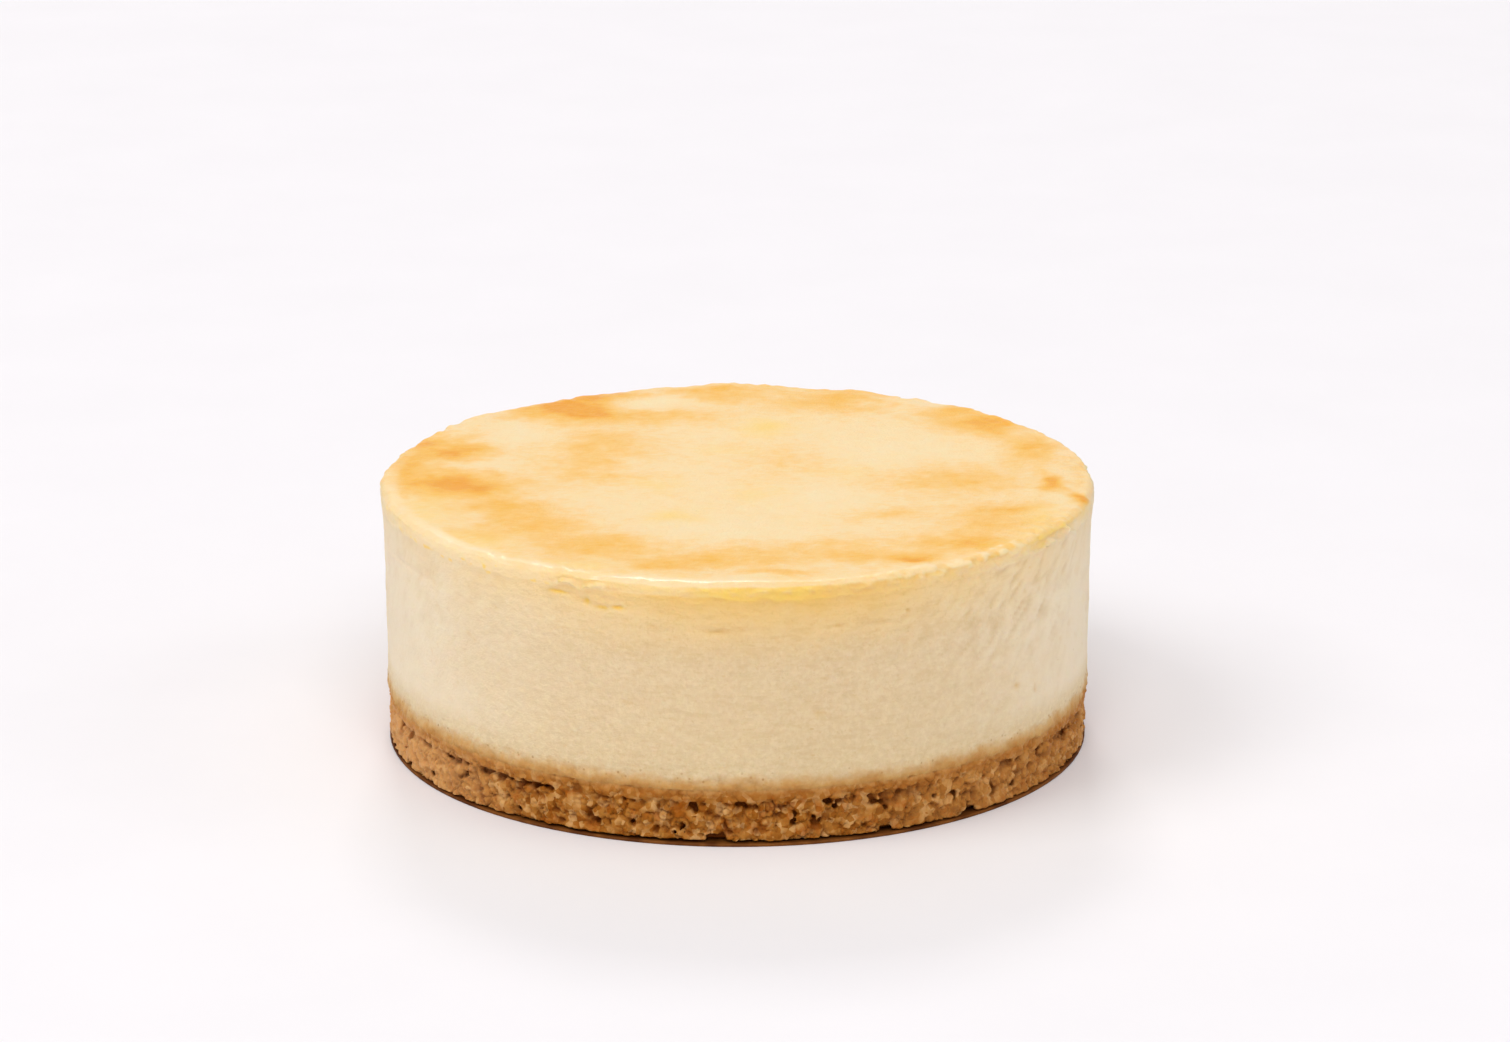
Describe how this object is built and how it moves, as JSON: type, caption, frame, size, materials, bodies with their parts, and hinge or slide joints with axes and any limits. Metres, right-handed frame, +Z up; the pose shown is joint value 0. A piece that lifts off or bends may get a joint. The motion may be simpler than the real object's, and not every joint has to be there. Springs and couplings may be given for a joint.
{
  "type": "cheesecake",
  "caption": "Small round baked cheesecake: pressed biscuit crumb base, cream filling with a browned top, standing on a thin round of baking paper.",
  "frame": {"origin": "on the surface that the cake stands on, under the cake's centre", "axes": "+Z up along the cake's axis; -Y is the side called the front"},
  "size_m": [0.1, 0.1, 0.037],
  "materials": {
    "baking_paper": "matte",
    "biscuit_crumb": "matte",
    "baked_filling": "satin"
  },
  "bodies": {
    "root": {"baking_paper_round": "baking_paper", "crumb_base": "biscuit_crumb", "cheese_filling": "baked_filling"}
  },
  "joints": []
}
